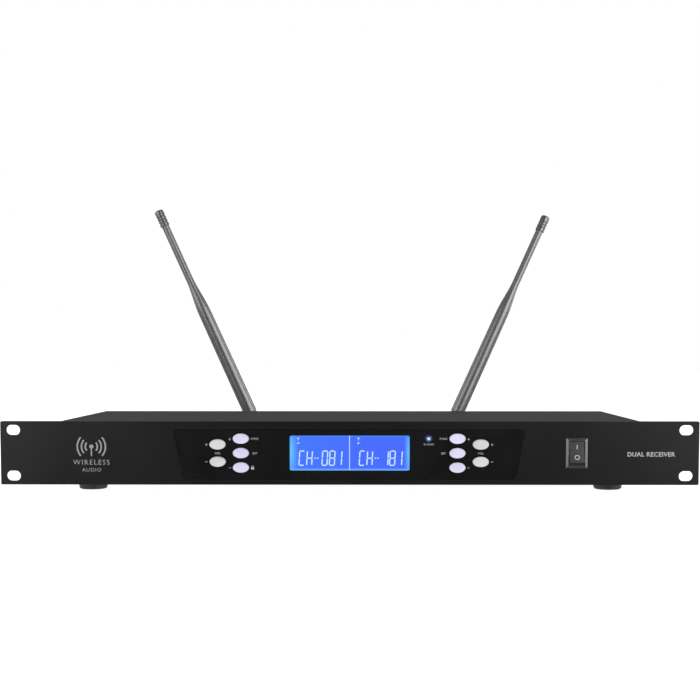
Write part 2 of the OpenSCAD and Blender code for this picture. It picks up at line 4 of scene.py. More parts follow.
import bmesh
import bpy
from mathutils import Matrix, Vector


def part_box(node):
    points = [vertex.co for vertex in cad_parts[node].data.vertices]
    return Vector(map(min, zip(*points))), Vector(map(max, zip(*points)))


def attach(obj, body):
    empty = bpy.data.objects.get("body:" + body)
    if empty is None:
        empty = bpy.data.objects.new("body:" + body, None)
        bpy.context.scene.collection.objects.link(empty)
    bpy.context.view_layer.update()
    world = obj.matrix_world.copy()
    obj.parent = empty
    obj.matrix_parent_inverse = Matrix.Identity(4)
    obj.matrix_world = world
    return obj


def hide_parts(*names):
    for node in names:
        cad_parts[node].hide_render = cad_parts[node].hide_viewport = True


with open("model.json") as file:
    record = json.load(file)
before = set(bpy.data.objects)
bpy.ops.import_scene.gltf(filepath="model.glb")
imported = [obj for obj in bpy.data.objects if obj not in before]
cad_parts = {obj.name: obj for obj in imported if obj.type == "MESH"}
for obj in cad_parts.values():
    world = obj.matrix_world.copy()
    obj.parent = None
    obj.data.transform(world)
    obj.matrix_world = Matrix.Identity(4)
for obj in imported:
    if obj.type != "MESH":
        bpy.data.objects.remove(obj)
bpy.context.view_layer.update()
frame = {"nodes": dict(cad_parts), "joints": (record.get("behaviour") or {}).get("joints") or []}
mm = 0.001


# measures taken from the frame

def spot(node):  # the middle of a node, in millimetres
    low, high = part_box(node)
    return (low + high) / 2 / mm


def span(node):  # the size of a node, in millimetres
    low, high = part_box(node)
    return (high - low) / mm


def jointNamed(name):
    return next(joint for joint in frame["joints"] if joint["name"] == name)


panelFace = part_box("front_panel")[0].y / mm
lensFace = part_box("display_lens")[0].y / mm
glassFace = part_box("display_glass")[0].y / mm
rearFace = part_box("chassis_tray")[1].y / mm
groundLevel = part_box("front_left_foot")[0].z / mm
keyNodes = [name for name in frame["nodes"] if name.endswith("_key")]
displayWindow = (82.8, 24.2)  # the clear opening in the lens
outputFlange = 26.0  # the width of one output's flange
outputReach = (span("output_sockets").x - outputFlange) / 2  # from the middle to each output


# shader sums: a Field is a socket that can be used in arithmetic

class Field:
    def __init__(self, finish, socket):
        self.finish = finish
        self.socket = socket

    def sum(self, operation, *values):
        return self.finish.node("ShaderNodeMath", {"operation": operation}, dict(enumerate(values)))

    def __add__(self, other):
        return self.sum("ADD", self, other)

    def __radd__(self, other):
        return self.sum("ADD", other, self)

    def __sub__(self, other):
        return self.sum("SUBTRACT", self, other)

    def __rsub__(self, other):
        return self.sum("SUBTRACT", other, self)

    def __mul__(self, other):
        return self.sum("MULTIPLY", self, other)

    def __rmul__(self, other):
        return self.sum("MULTIPLY", other, self)

    def __truediv__(self, other):
        return self.sum("DIVIDE", self, other)

    def __rtruediv__(self, other):
        return self.sum("DIVIDE", other, self)

    def __abs__(self):
        return self.sum("ABSOLUTE", self)

    def clamped(self):
        return self.finish.node("ShaderNodeClamp", None, {"Value": self, "Min": 0.0, "Max": 1.0})

    def ramp(self, low, high):  # 0 at low, 1 at high, smooth between
        return self.finish.node("ShaderNodeMapRange", {"interpolation_type": "SMOOTHSTEP"},
                                {"Value": self, "From Min": low, "From Max": high})


class Finish:
    def __init__(self, name, index=1.5, **constants):  # index is the refractive index
        self.material = bpy.data.materials.new(name)
        self.material.use_nodes = True
        self.tree = self.material.node_tree
        self.shader = self.tree.nodes["Principled BSDF"]
        self.place = self.node("ShaderNodeTexCoord", output="Object")
        self.shader.inputs["IOR"].default_value = index
        for socket, value in constants.items():
            self.shader.inputs[socket.replace("_", " ")].default_value = value

    def node(self, kind, settings=None, inputs=None, output=0):
        made = self.tree.nodes.new(kind)
        for setting, value in (settings or {}).items():
            if setting == "stops":
                self.setStops(made.color_ramp, value)
            else:
                setattr(made, setting, value)
        for socket, value in (inputs or {}).items():
            self.feed(made.inputs[socket], value)
        return Field(self, made.outputs[output])

    def setStops(self, ramp, stops):
        while len(ramp.elements) < len(stops):
            ramp.elements.new(1.0)
        for element, (position, shade) in zip(ramp.elements, stops):
            element.position = position
            element.color = shade

    def feed(self, socket, value):
        if isinstance(value, Field):
            self.tree.links.new(value.socket, socket)
        else:
            socket.default_value = value

    def paint(self, **inputs):  # feeds the shader's own sockets
        for socket, value in inputs.items():
            self.feed(self.shader.inputs[socket.replace("_", " ")], value)

    def axis(self, letter):
        return self.node("ShaderNodeSeparateXYZ", None, {"Vector": self.place}, output=letter)

    def noise(self, size, detail=2.0, stretch=(1, 1, 1), roughness=0.5):  # size in millimetres
        vector = self.place
        if stretch != (1, 1, 1):
            vector = self.node("ShaderNodeMapping", None, {"Vector": self.place, "Scale": stretch})
        return self.node("ShaderNodeTexNoise", None, {
            "Vector": vector, "Scale": 1 / (size * mm), "Detail": detail, "Roughness": roughness})

    def blend(self, factor, first, second):
        return self.node("ShaderNodeMix", {"data_type": "RGBA"}, {0: factor, 6: first, 7: second}, output=2)

    def showOnlyAbove(self):  # clear from its other side, so that a view from below is open
        clear = self.node("ShaderNodeBsdfTransparent")
        behind = self.node("ShaderNodeNewGeometry", output="Backfacing")
        solid = Field(self, self.shader.outputs[0])
        mixed = self.node("ShaderNodeMixShader", None, {0: behind, 1: solid, 2: clear})
        self.tree.links.new(mixed.socket, self.tree.nodes["Material Output"].inputs["Surface"])

    def relief(self, height, depth, strength=1.0):  # depth in millimetres
        bump = self.node("ShaderNodeBump", None, {
            "Height": height, "Distance": depth * mm, "Strength": strength})
        self.paint(Normal=bump)


def tone(red, green=None, blue=None):  # a screen colour from 0 to 255, as linear light
    parts = (red, red if green is None else green, red if blue is None else blue)
    linear = [v / 3294.6 if v <= 10 else ((v / 255 + 0.055) / 1.055) ** 2.4 for v in parts]
    return (*linear, 1.0)


def scaled(shade, factor):
    return tuple(value * factor for value in shade[:3]) + (1,)


# modelling by hand: every step works on what is picked

def deselectAll():
    if bpy.context.mode != "OBJECT":
        bpy.ops.object.mode_set(mode="OBJECT")
    bpy.ops.object.select_all(action="DESELECT")


def only(piece):
    deselectAll()
    piece.select_set(True)
    bpy.context.view_layer.objects.active = piece
    return piece


def started(name):  # names the primitive that was just added, and puts its place in its mesh
    piece = bpy.context.object
    piece.name = name
    piece.data.name = name
    bpy.ops.object.transform_apply(location=True, rotation=True, scale=True)
    return piece


def edit(piece):
    only(piece)
    bpy.ops.object.mode_set(mode="EDIT")
    bpy.ops.mesh.select_mode(type="VERT")


def done():
    bpy.ops.object.mode_set(mode="OBJECT")


def pickAll():
    bpy.ops.mesh.select_all(action="SELECT")


def pickFaces(piece, test):
    bpy.ops.mesh.select_mode(type="FACE")
    bpy.ops.mesh.select_all(action="DESELECT")
    shape = bmesh.from_edit_mesh(piece.data)
    for face in shape.faces:
        if test(face.calc_center_median() / mm, face.normal):
            face.select = True
    bmesh.update_edit_mesh(piece.data)


def place(piece, location=(0, 0, 0), turn=(0, 0, 0)):  # millimetres and degrees
    only(piece)
    piece.location = Vector(location) * mm
    piece.rotation_euler = [math.radians(angle) for angle in turn]
    bpy.ops.object.transform_apply(location=True, rotation=True, scale=True)
    return piece


def placeBy(piece, matrix):
    piece.data.transform(matrix)
    piece.data.update()
    return piece


def smooth(piece, angle=32):
    only(piece)
    bpy.ops.object.shade_smooth_by_angle(angle=math.radians(angle))
    return piece


def applied(piece, kind, **settings):
    only(piece)
    modifier = piece.modifiers.new(kind.lower(), kind)
    for setting, value in settings.items():
        setattr(modifier, setting, value)
    bpy.ops.object.modifier_apply(modifier=modifier.name)
    return piece


def bevelled(piece, width, segments=2, angle=32):  # rounds every edge sharper than the angle
    applied(piece, "BEVEL", width=width * mm, segments=segments, limit_method="ANGLE",
            angle_limit=math.radians(angle), miter_outer="MITER_ARC", harden_normals=False)
    smooth(piece)
    return applied(piece, "WEIGHTED_NORMAL", keep_sharp=True)  # keeps flat sheets even


def block(name, low, high):
    deselectAll()
    middle = (Vector(low) + Vector(high)) / 2
    bpy.ops.mesh.primitive_cube_add(size=1, location=middle * mm, scale=(Vector(high) - Vector(low)) * mm)
    return started(name)


def turned(name, profile, sides=64, loop=False):
    # profile is radius and height in millimetres, from the bottom up, with a third number
    # where the outline is an oval: how much wider it is along x. With loop it comes back
    # to its start, round a through hole.
    steps = [(step + (0,))[:3] for step in profile]
    radius, height, wider = steps[0]
    deselectAll()
    bpy.ops.mesh.primitive_circle_add(vertices=sides, radius=radius * mm, location=(0, 0, height * mm),
                                      fill_type="NOTHING" if loop else "NGON")
    piece = started(name)
    edit(piece)
    pickAll()
    for nextRadius, nextHeight, nextWider in steps[1:] + (steps[:1] if loop else []):
        bpy.ops.mesh.extrude_region_move(
            TRANSFORM_OT_translate={"value": (0, 0, (nextHeight - height) * mm)})
        share = ((nextRadius + nextWider) / (radius + wider), nextRadius / radius, 1)
        if share != (1, 1, 1):
            bpy.ops.transform.resize(value=share, center_override=(0, 0, nextHeight * mm))
        radius, height, wider = nextRadius, nextHeight, nextWider
    pickAll()
    bpy.ops.mesh.remove_doubles(threshold=1e-7)
    pickAll()
    bpy.ops.mesh.normals_make_consistent(inside=False)
    done()
    return piece


def copied(piece, name, offset=(0, 0, 0)):
    twin = bpy.data.objects.new(name, piece.data.copy())
    bpy.context.scene.collection.objects.link(twin)
    twin.data.transform(Matrix.Translation(Vector(offset) * mm))
    return twin


def joined(name, pieces):
    deselectAll()
    for piece in pieces:
        piece.select_set(True)
    bpy.context.view_layer.objects.active = pieces[0]
    bpy.ops.object.join()
    pieces[0].name = name
    return pieces[0]


def fromFrame(node, name, width=0.0, segments=2, keep=None):
    # a merged copy of a node, its edges rounded, or only the part of it that keep picks
    piece = bpy.data.objects.new(name, frame["nodes"][node].data.copy())
    bpy.context.scene.collection.objects.link(piece)
    piece.data.materials.clear()
    edit(piece)
    pickAll()
    bpy.ops.mesh.remove_doubles(threshold=2e-6)
    bpy.ops.mesh.dissolve_limited(angle_limit=math.radians(0.6))
    if keep:
        pickFaces(piece, lambda middle, normal: not keep(middle))
        bpy.ops.mesh.delete(type="FACE")
    done()
    return bevelled(piece, width, segments) if width else smooth(piece)


def cut(piece, tool):
    applied(piece, "BOOLEAN", operation="DIFFERENCE", object=tool, solver="EXACT")
    bpy.data.objects.remove(tool, do_unlink=True)
    return piece


def wear(piece, finish, body, slotName, *nodes):  # finish, body, slot and the nodes it stands for; the slot is not used
    piece.data.materials.clear()
    piece.data.materials.append(finish.material)
    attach(piece, body)
    if nodes:
        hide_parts(*nodes)
    return piece


def coat(finish, *nodes):  # a better material on nodes whose shape is right
    for node in nodes:
        piece = frame["nodes"][node]
        piece.data.materials.clear()
        piece.data.materials.append(finish.material)


# camera

cameraSet = {
    "spot": (16.2, -939.2, 69.0), "yaw": 0.52, "pitch": 3.89,
    "sensor": 36.0, "lens": 69.9, "shift": (-0.0146, 0.1363),
}


def addCamera():
    c = cameraSet
    data = bpy.data.cameras.new("camera")
    data.sensor_width = c["sensor"]
    data.lens = c["lens"]
    data.shift_x, data.shift_y = c["shift"]
    data.clip_end = 50
    camera = bpy.data.objects.new("camera", data)
    bpy.context.scene.collection.objects.link(camera)
    camera.location = Vector(c["spot"]) * mm
    camera.rotation_euler = (math.radians(90 - c["pitch"]), 0, math.radians(c["yaw"]))
    bpy.context.scene.camera = camera


addCamera()


# finishes

finishSet = {
    "panel": {"shade": tone(8, 8, 9), "rough": 0.31, "grain": 0.35, "relief": 0.008, "index": 2.0},
    "case": {"shade": tone(26, 26, 27), "rough": 0.5, "grain": 0.5, "relief": 0.02, "index": 1.5},
    "lens": {"shade": tone(17, 17, 18), "rough": 0.16},
}


def powderCoat(name, shade, rough, grain, relief, index):
    finish = Finish(name, index=index)
    speck = finish.noise(grain, 3)
    drift = finish.noise(60, 2)
    darker = scaled(shade, 0.8)
    lighter = scaled(shade, 1.22)
    finish.paint(Base_Color=finish.blend((speck * 0.6 + drift * 0.4).ramp(0.35, 0.65), darker, lighter))
    finish.paint(Roughness=rough - 0.05 + drift * 0.06 + speck * 0.05)
    finish.relief(speck, relief, 0.6)
    return finish


def moulded(name, shade, rough, grain=0.3, relief=0.01, spread=0.12, **constants):
    # injection-moulded plastic or rubber with a fine eroded grain
    finish = Finish(name, **constants)
    speck = finish.noise(grain, 2)
    drift = finish.noise(9, 2)
    darker = scaled(shade, 1 - spread)
    lighter = scaled(shade, 1 + spread)
    finish.paint(Base_Color=finish.blend(drift.ramp(0.3, 0.7), darker, lighter))
    finish.paint(Roughness=rough - 0.06 + drift * 0.06 + speck * 0.06)
    finish.relief(speck, relief, 0.5)
    return finish


def keyPlastic(name, shade):
    # a pale key top; the part of the key behind the lens is painted dark grey, a painted shade for the shadow
    # it lies in
    finish = moulded(name, shade, 0.45, 0.25, 0.012, 0.05)
    top = finish.shader.inputs["Base Color"].links[0].from_socket
    # painted shade: the key turns dark grey from just behind the lens face back, where it lies in shadow
    paintedShadeBehindLens = finish.axis("Y").ramp((lensFace + 0.6) * mm, (lensFace + 0.9) * mm)
    finish.paint(Base_Color=finish.blend(paintedShadeBehindLens, Field(finish, top), tone(38, 38, 40)))
    return finish


def plated(name, shade, rough, brushing=(1, 1, 1), grain=0.25):
    # bright plating with fine machining lines
    finish = Finish(name, Metallic=1.0)
    lines = finish.noise(grain, 3, brushing)
    drift = finish.noise(4, 2)
    dull = scaled(shade, 0.88)
    finish.paint(Base_Color=finish.blend(drift.ramp(0.35, 0.7), dull, shade))
    finish.paint(Roughness=rough - 0.06 + lines * 0.1 + drift * 0.05)
    finish.relief(lines, 0.004, 0.5)
    return finish


def glossAcrylic(name, shade, rough):
    finish = Finish(name, index=1.49)
    drift = finish.noise(30, 3)
    smudge = finish.noise(3.5, 4)
    finish.paint(Base_Color=finish.blend(drift.ramp(0.3, 0.7), shade, scaled(shade, 1.4)))
    finish.paint(Roughness=rough + smudge * 0.05 + drift * 0.03)
    finish.relief(drift, 0.01, 0.15)
    return finish


def circuitBoard(name):
    finish = Finish(name, Roughness=0.35)
    cells = finish.node("ShaderNodeTexBrick", {"offset": 0.5}, {
        "Vector": finish.place, "Scale": 140.0, "Color1": (1, 1, 1, 1), "Color2": (0.7, 0.7, 0.7, 1),
        "Mortar": (0, 0, 0, 1), "Mortar Size": 0.06}, output=1)
    weave = finish.noise(0.4, 2)
    green = finish.blend(weave, (0.012, 0.11, 0.045, 1), (0.02, 0.16, 0.07, 1))
    finish.paint(Base_Color=finish.blend(cells, green, (0.035, 0.23, 0.1, 1)))
    finish.relief(cells, 0.03, 0.4)
    return finish


def wireInsulation(name, shade, rough=0.42):
    finish = Finish(name)
    ripple = finish.noise(1.2, 2)
    finish.paint(Base_Color=finish.blend(ripple, scaled(shade, 0.75), shade))
    finish.paint(Roughness=rough + ripple * 0.1)
    finish.relief(ripple, 0.05, 0.3)
    return finish


def ribbonStripes(name):
    finish = Finish(name, Roughness=0.4)
    turns = finish.axis("X") * (math.tau / (1.27 * mm))
    cores = turns.sum("SINE", turns)
    finish.paint(Base_Color=finish.blend(cores.ramp(-0.9, 0.2), (0.1, 0.1, 0.11, 1), (0.42, 0.42, 0.44, 1)))
    finish.relief(cores, 0.15, 0.6)
    return finish


def glowing(name, shade, strength, deep=0.85):
    finish = Finish(name, Base_Color=(0.02, 0.03, 0.05, 1), Roughness=0.3, Emission_Strength=strength)
    shimmer = finish.noise(0.7, 2)
    finish.paint(Emission_Color=finish.blend(shimmer, scaled(shade, deep), shade))
    return finish


def ink(name, shade, rough=0.55):
    finish = Finish(name)
    grain = finish.noise(0.25, 3)
    finish.paint(Base_Color=finish.blend(grain, scaled(shade, 0.75), shade))
    finish.paint(Roughness=rough + grain * 0.1)
    finish.relief(grain, 0.004, 0.4)
    return finish


def liquidCrystal(name):
    # a blue backlit cell: violet blue in the middle, paler and greener towards its lamps
    middle = spot("display_glass") * mm
    halfWide, halfTall = (size / 2 * mm for size in displayWindow)
    finish = Finish(name, Base_Color=(0.01, 0.02, 0.06, 1), Roughness=0.28, Emission_Strength=1.0)
    x = (finish.axis("X") - middle.x) / halfWide
    z = (finish.axis("Z") - middle.z) / halfTall
    left = (x * -1).ramp(0.84, 1.0) * (1.06 - abs(z - 0.05) * 0.5)
    right = x.ramp(0.9, 1.0) * (1.05 - abs(z) * 0.45)
    sides = left.sum("MAXIMUM", left, right).clamped()
    paler = (x * -1).ramp(-0.6, 1.0)
    core = finish.blend(paler, tone(62, 97, 247), tone(60, 110, 250))
    lit = finish.blend(sides, core, tone(100, 190, 254))
    below = (z * -1).ramp(0.84, 1.0)
    lit = finish.blend(below, lit, tone(110, 176, 243))
    above = z.ramp(0.86, 1.0)
    lit = finish.blend(above, lit, tone(62, 130, 236))
    grain = finish.noise(0.5, 2)
    lit = finish.blend(grain * 0.08, lit, tone(104, 150, 255))
    finish.paint(Emission_Color=lit)
    finish.paint(Roughness=0.25 + grain * 0.06)
    return finish


def paintedLampGlow(name):
    # a clear lens that gives no visible light, its look painted as glow: a painted white highlight in a
    # painted dark blue glow
    finish = Finish(name, Base_Color=(0.02, 0.03, 0.06, 1), Roughness=0.12, Emission_Strength=1.0)
    middle = spot("infrared_lens") * mm
    across, up = finish.axis("X") - middle.x, finish.axis("Z") - middle.z
    square = across * across + up * up
    distance = square.sum("SQRT", square)
    facet = finish.noise(0.9, 1)
    # painted highlight: the white spot at the middle is painted into the glow colour
    core = (distance + facet * (0.9 * mm)).ramp(2.0 * mm, 0.9 * mm)
    finish.paint(Emission_Color=finish.blend(core, tone(18, 44, 110), tone(214, 232, 255)))
    finish.relief(facet, 0.1, 0.3)
    return finish


panelPaint = powderCoat("panelPaint", **finishSet["panel"])
casePaint = powderCoat("casePaint", **finishSet["case"])
lensBlack = glossAcrylic("lensBlack", **finishSet["lens"])
volumeKeyPlastic = keyPlastic("volumeKeyPlastic", tone(198, 198, 199))
functionKeyPlastic = keyPlastic("functionKeyPlastic", tone(205, 203, 226))
bezelNylon = moulded("bezelNylon", tone(50, 50, 51), 0.3, 0.3, 0.006, index=2.6)
rockerNylon = moulded("rockerNylon", tone(61, 61, 62), 0.5, 0.28, 0.06, 0.2)
socketNylon = moulded("socketNylon", tone(30, 30, 31), 0.4, 0.3, 0.02)
footRubber = moulded("footRubber", tone(60, 60, 61), 0.4, 0.35, 0.02, 0.16, index=1.8)
sleeveRubber = moulded("sleeveRubber", tone(82, 82, 83), 0.33, 6, 0.001, 0.04, index=2.5)
capRubber = moulded("capRubber", tone(68, 68, 69), 0.3, 4, 0.001, 0.04, index=2.5)
epoxyBlack = moulded("epoxyBlack", tone(36, 37, 40), 0.5, 0.2, 0.02)
milkyDiffuser = moulded("milkyDiffuser", tone(226, 230, 240), 0.4, 0.5, 0.01, 0.04)
nickel = plated("nickel", (0.66, 0.64, 0.6, 1), 0.26, (1, 1, 6))
zinc = plated("zinc", (0.55, 0.56, 0.57, 1), 0.36)
blackZinc = plated("blackZinc", (0.035, 0.035, 0.037, 1), 0.38)
tinnedSheet = plated("tinnedSheet", (0.62, 0.62, 0.61, 1), 0.34, (1, 8, 1))
goldFlash = plated("goldFlash", (0.78, 0.58, 0.26, 1), 0.3)
boardGreen = circuitBoard("boardGreen")
leadRed = wireInsulation("leadRed", (0.42, 0.02, 0.02, 1))
leadBlack = wireInsulation("leadBlack", (0.02, 0.02, 0.02, 1))
ribbonGrey = ribbonStripes("ribbonGrey")
crystalBlue = liquidCrystal("crystalBlue")
lampLight = paintedLampGlow("lampLight")
segmentLight = glowing("segmentLight", tone(208, 238, 255), 1.0)
dividerLight = glowing("dividerLight", tone(222, 236, 255), 0.96)
# painted glow: the rim round the infrared lens glows blue though it is no lamp
lampBlue = glowing("lampBlue", tone(24, 52, 128), 0.8, 0.4)
whiteInk = ink("whiteInk", tone(188, 188, 192))
silverInk = ink("silverInk", tone(150, 150, 154), 0.42)
print("finishes mixed:", len(bpy.data.materials))


# front panel and lens

def makePanel():
    panel = fromFrame("front_panel", "frontPlate", 0.15)
    wear(panel, panelPaint, "case", "panel_black", "front_panel")
    lens = fromFrame("display_lens", "lensPlate", 0.12)
    wear(lens, lensBlack, "case", "lens_black", "display_lens")


makePanel()
print("panel and lens built")


# display

displaySet = {
    "cellHeight": 9.9, "cellWidth": 3.5, "stroke": 0.84, "slant": 3.5, "gap": 0.16,
    "baseline": -8.55, "depth": 0.06,
    "leftStarts": (-34.75, -29.45, -18.85, -13.75, -8.95), "rightStarts": (6.95, 12.25, 23.15, 27.95, 32.75),
    "leftText": "CH081", "rightText": "CH181",
    "dashStarts": (-24.1, 17.6), "dashWidth": 1.3, "dashGap": 0.5, "dashZ": -3.6,
    "divider": (0.3, 0.5),
}
# strokes of a seven-segment figure: a top, b c right, d bottom, e f left, g middle
strokesOf = {"C": "adef", "H": "bcefg", "0": "abcdef", "8": "abcdefg", "1": "bc"}


def stroke(name, start, finish, width):
    # a flat bar with pointed ends between two points in the display's plane
    s = displaySet
    start, finish = Vector(start), Vector(finish)
    along = finish - start
    deselectAll()
    bpy.ops.mesh.primitive_circle_add(vertices=6, radius=0.5 * mm, rotation=(0, 0, math.radians(30)),
                                      fill_type="NGON")
    bar = started(name)
    edit(bar)
    pickAll()
    length = along.length - s["gap"]
    bpy.ops.transform.resize(value=(length, width / math.cos(math.pi / 6), 1), center_override=(0, 0, 0))
    half = length / 2 * mm
    shape = bmesh.from_edit_mesh(bar.data)
    for vertex in shape.verts:  # the points keep 45 degrees, or less on a short bar
        if abs(vertex.co.y) > 1e-7:
            vertex.co.x = math.copysign(half - min(width / 2 * mm, half * 0.3), vertex.co.x)
    bmesh.update_edit_mesh(bar.data)
    bpy.ops.mesh.extrude_region_move(TRANSFORM_OT_translate={"value": (0, 0, s["depth"] * mm)})
    pickAll()
    bpy.ops.mesh.normals_make_consistent(inside=False)
    done()
    middle = (start + finish) / 2
    angle = math.degrees(math.atan2(along.y, along.x))
    place(bar, (0, 0, 0), (0, 0, angle))
    place(bar, (0, 0, 0), (90, 0, 0))
    return place(bar, (middle.x, glassFace, middle.y))


def figure(name, letter, left):
    s = displaySet
    lean = math.tan(math.radians(s["slant"]))

    def corner(across, up):
        z = s["baseline"] + up * s["cellHeight"]
        return (left + across * s["cellWidth"] + lean * up * s["cellHeight"], z)

    ends = {
        "a": ((0, 1), (1, 1)), "b": ((1, 0.5), (1, 1)), "c": ((1, 0), (1, 0.5)), "d": ((0, 0), (1, 0)),
        "e": ((0, 0), (0, 0.5)), "f": ((0, 0.5), (0, 1)), "g": ((0, 0.5), (1, 0.5)),
    }
    return [stroke(name + part, corner(*ends[part][0]), corner(*ends[part][1]), s["stroke"])
            for part in strokesOf[letter]]


def aerialMark(left):  # a small aerial over a dot-and-bar mark, at the top of each half
    return [
        stroke("mast", (left + 1.4, 8.4), (left + 1.4, 10.8), 0.34),
        stroke("armLeft", (left + 0.4, 10.7), (left + 1.4, 9.5), 0.3),
        stroke("armRight", (left + 2.4, 10.7), (left + 1.4, 9.5), 0.3),
        stroke("dot", (left + 0.5, 6.8), (left + 1.8, 6.8), 0.9),
        stroke("tick", (left + 1.7, 6.6), (left + 2.5, 7.5), 0.3),
    ]


def makeDisplay():
    s = displaySet
    cell = fromFrame("display_glass", "crystalCell", 0.15)
    wear(cell, crystalBlue, "case", "display_blue", "display_glass")
    bars = []
    for text, starts in ((s["leftText"], s["leftStarts"]), (s["rightText"], s["rightStarts"])):
        for index, (letter, left) in enumerate(zip(text, starts)):
            bars += figure(f"figure{index}", letter, left)
    for left in s["dashStarts"]:
        for start in (left, left + s["dashWidth"] + s["dashGap"]):
            bars.append(stroke("dash", (start, s["dashZ"]), (start + s["dashWidth"], s["dashZ"]), 0.85))
    for left in (-36.6, 5.1):
        bars += aerialMark(left)
    wear(joined("displayFigures", bars), segmentLight, "case", "display_blue")
    x, width = s["divider"]
    line = stroke("displayDivider", (x, -12.6), (x, 12.6), width)
    wear(line, dividerLight, "case", "display_blue")


makeDisplay()
print("display drawn")


# keys

keySet = {"crown": 0.3, "edge": 0.75, "collar": 1.27, "stem": 1.7, "flange": 0.8, "flangeFront": 0.4}


def makeKeys():
    k = keySet
    low, high = (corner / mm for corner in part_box(keyNodes[0]))
    collarTall = (high.z - low.z) / 2
    tall = collarTall - k["collar"]
    wider = (high.x - low.x) / 2 - collarTall
    back, flange = high.y - low.y, k["flangeFront"] - low.y
    behind = -flange - k["flange"]
    profile = [(k["stem"], -back), (k["stem"], behind), (collarTall, behind, wider),
               (collarTall, -flange, wider), (tall, -flange, wider), (tall, -k["edge"], wider)]
    for angle in (15, 30, 45, 60, 75, 90):
        slant = math.radians(angle)
        profile.append((tall - k["edge"] * (1 - math.cos(slant)),
                        -k["edge"] + (k["edge"] - k["crown"]) * math.sin(slant), wider))
    for share in (0.75, 0.5, 0.25, 0.03):
        reach = (tall - k["edge"]) * share
        profile.append((reach, -k["crown"] * share * share, wider * share))
    master = turned("keyMaster", profile, 72)
    smooth(master, 40)
    place(master, (0, 0, 0), (90, 0, 0))
    for node in keyNodes:
        centre = spot(node)
        name = "".join(word.capitalize() for word in node.split("_"))
        key = copied(master, name[0].lower() + name[1:] + "Cap", (centre.x, low.y, centre.z))
        finish = volumeKeyPlastic if "volume" in node else functionKeyPlastic
        wear(key, finish, node, "key_white", node)
    bpy.data.objects.remove(master, do_unlink=True)


makeKeys()
print("keys moulded:", len(keyNodes))


# printed marks

def lettering(name, words, size, location, spacing=1.0, bold=0.0, rear=False):
    # flat print, raised a hair so that it is a solid
    deselectAll()
    bpy.ops.object.text_add()
    text = bpy.context.object
    text.data.body = words
    text.data.size = size * mm
    text.data.space_character = spacing
    text.data.offset = bold * mm
    text.data.align_x = "CENTER"
    text.data.align_y = "CENTER"
    text.data.extrude = 0.015 * mm
    text.data.resolution_u = 3
    bpy.ops.object.convert(target="MESH")
    piece = started(name)
    edit(piece)
    pickAll()
    bpy.ops.mesh.remove_doubles(threshold=1e-7)
    done()
    return place(piece, location, (90, 0, 180 if rear else 0))


markSet = {
    "letter": 2.0, "sign": 0.28, "signSize": 1.6,
    "volumeGap": 7.8, "functionGap": 7.7, "wordGap": 9.6,
}


def sign(name, x, z, upright):  # a plus, or a minus when not upright
    m = markSet
    half = m["signSize"] / 2
    bars = [block(name + "Across", (x - half, lensFace - 0.02, z - m["sign"] / 2),
                  (x + half, lensFace + 0.01, z + m["sign"] / 2))]
    if upright:
        bars.append(block(name + "Up", (x - m["sign"] / 2, lensFace - 0.022, z - half),
                          (x + m["sign"] / 2, lensFace + 0.01, z + half)))
    return bars


def padlock(x, z):
    deselectAll()
    shackle = turned("shackle", [(0.75, 0), (1.0, 0), (1.0, 0.03), (0.75, 0.03)], 24, loop=True)
    place(shackle, (x, lensFace + 0.01, z + 0.35), (90, 0, 0))
    body = block("lockBody", (x - 1.0, lensFace - 0.025, z - 1.2), (x + 1.0, lensFace + 0.01, z + 0.25))
    return [shackle, body]


def makeMarks():
    m = markSet
    marks = []
    for side, name in ((-1, "left"), (1, "right")):
        up, down = spot(f"{name}_volume_up_key"), spot(f"{name}_volume_down_key")
        top, middle, low = (spot(f"{name}_{which}_key") for which in ("up", "set", "down"))
        marks += sign(name + "Louder", up.x + side * m["volumeGap"], up.z - 0.2, True)
        marks += sign(name + "Softer", up.x + side * m["volumeGap"], down.z - 0.1, False)
        marks.append(lettering(name + "Volume", "VOL", m["letter"], (up.x, lensFace, -0.3), 1.15))
        marks += sign(name + "Next", top.x + side * m["functionGap"], top.z - 0.4, True)
        marks += sign(name + "Back", top.x + side * m["functionGap"], low.z - 0.2, False)
        for text, z in (("SYNC", top.z - 0.2), ("SET", middle.z - 0.3)):
            spotOf = (top.x - side * m["wordGap"], lensFace, z)
            marks.append(lettering(name + text.capitalize(), text, m["letter"], spotOf, 1.1))
    lock = spot("left_down_key")
    marks += padlock(lock.x + 8.0, lock.z - 0.2)
    lamp = spot("infrared_lens")
    marks.append(lettering("lampName", "IR SYNC", 1.8, (lamp.x, lensFace, lamp.z - 4.1), 1.1))
    wear(joined("lensPrint", marks), whiteInk, "case", "key_white")


emblemSet = {"x": -178.3, "z": 4.4, "rings": ((3.6, 4.7), (6.3, 7.4), (9.2, 10.3)), "open": 42}


def emblem():
    # a plain sign for radio: a dot, a mast and three arcs on each side
    e = emblemSet
    parts = []
    for inner, outer in e["rings"]:
        ring = turned("wave", [(inner, 0), (outer, 0), (outer, 0.035), (inner, 0.035)], 96, loop=True)
        edit(ring)
        limit = math.cos(math.radians(e["open"]))
        pickFaces(ring, lambda middle, normal: abs(middle.x) < limit * math.hypot(middle.x, middle.y))
        bpy.ops.mesh.delete(type="FACE")
        bpy.ops.mesh.select_mode(type="EDGE")
        bpy.ops.mesh.select_all(action="SELECT")
        bpy.ops.mesh.region_to_loop()
        bpy.ops.mesh.edge_face_add()
        done()
        parts.append(ring)
    parts.append(turned("dot", [(1.5, 0), (1.5, 0.035)], 32))
    mast = block("mast", (-0.45, -6.6, 0), (0.45, -1.0, 0.035))
    parts.append(mast)
    mark = joined("frontEmblem", parts)
    return place(mark, (e["x"], panelFace + 0.015, e["z"]), (90, 0, 0))


printSet = {
    "words": (("emblemWord", "WIRELESS", 4.9, -6.6), ("emblemLine", "AUDIO", 3.6, -11.8)),
    "title": "DUAL RECEIVER", "titleSize": 4.3, "titleX": 208.2, "titleZ": -0.9,
}


